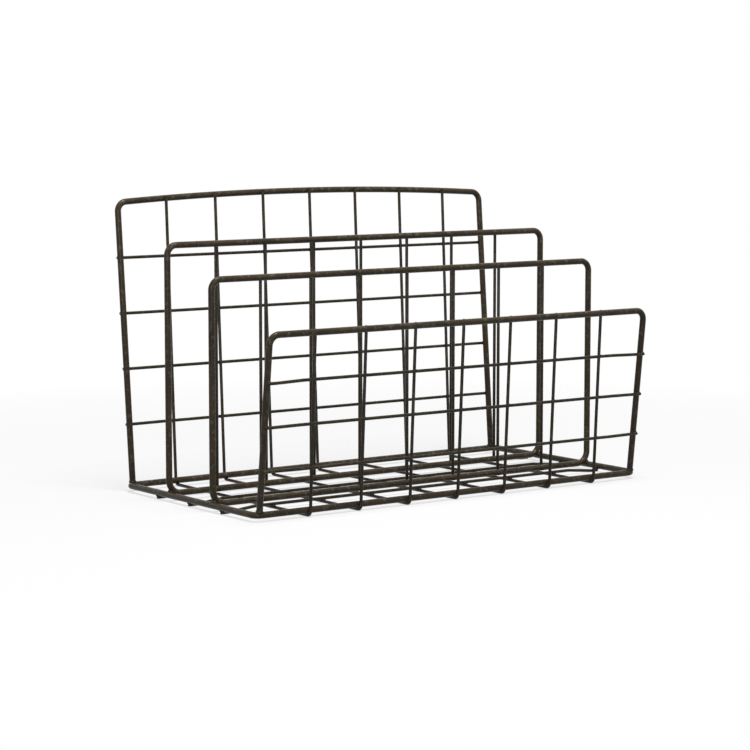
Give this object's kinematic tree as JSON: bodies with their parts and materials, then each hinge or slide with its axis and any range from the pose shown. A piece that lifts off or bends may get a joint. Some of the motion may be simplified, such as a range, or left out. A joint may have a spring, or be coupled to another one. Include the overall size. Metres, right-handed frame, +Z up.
{
  "type": "desktop book organizer",
  "caption": "Open wire desk rack with a meshed back, base and low front and upright wire dividers, holding books, folders and mail on edge.",
  "frame": {"origin": "centre of the rack's bounding box, on the table that it stands on", "axes": "+X along the length to the right seen from the front, +Y to the tall back, +Z up"},
  "size_m": [0.24, 0.1414, 0.151],
  "materials": {
    "frame_wire": "dark brown black powder coat, satin",
    "mesh_wire": "dark brown black powder coat, satin"
  },
  "bodies": {
    "root": {"base_rim": "frame_wire", "back_frame": "frame_wire", "rear_divider_loop": "frame_wire", "front_divider_loop": "frame_wire", "front_frame": "frame_wire", "mesh_wire_1": "mesh_wire", "mesh_wire_2": "mesh_wire", "mesh_wire_3": "mesh_wire", "mesh_wire_4": "mesh_wire", "mesh_wire_5": "mesh_wire", "mesh_wire_6": "mesh_wire", "mesh_wire_7": "mesh_wire", "back_cross_wire_1": "mesh_wire", "back_cross_wire_2": "mesh_wire", "back_cross_wire_3": "mesh_wire", "back_cross_wire_4": "mesh_wire", "front_cross_wire_1": "mesh_wire", "front_cross_wire_2": "mesh_wire", "front_cross_wire_3": "mesh_wire", "base_cross_wire_1": "mesh_wire", "base_cross_wire_2": "mesh_wire", "base_cross_wire_3": "mesh_wire", "rear_divider_bar_1": "mesh_wire", "rear_divider_bar_2": "mesh_wire", "rear_divider_bar_3": "mesh_wire", "rear_divider_bar_4": "mesh_wire", "rear_divider_bar_5": "mesh_wire", "rear_divider_bar_6": "mesh_wire", "rear_divider_bar_7": "mesh_wire", "front_divider_bar_1": "mesh_wire", "front_divider_bar_2": "mesh_wire", "front_divider_bar_3": "mesh_wire", "front_divider_bar_4": "mesh_wire", "front_divider_bar_5": "mesh_wire", "front_divider_bar_6": "mesh_wire", "front_divider_bar_7": "mesh_wire"}
  },
  "joints": []
}
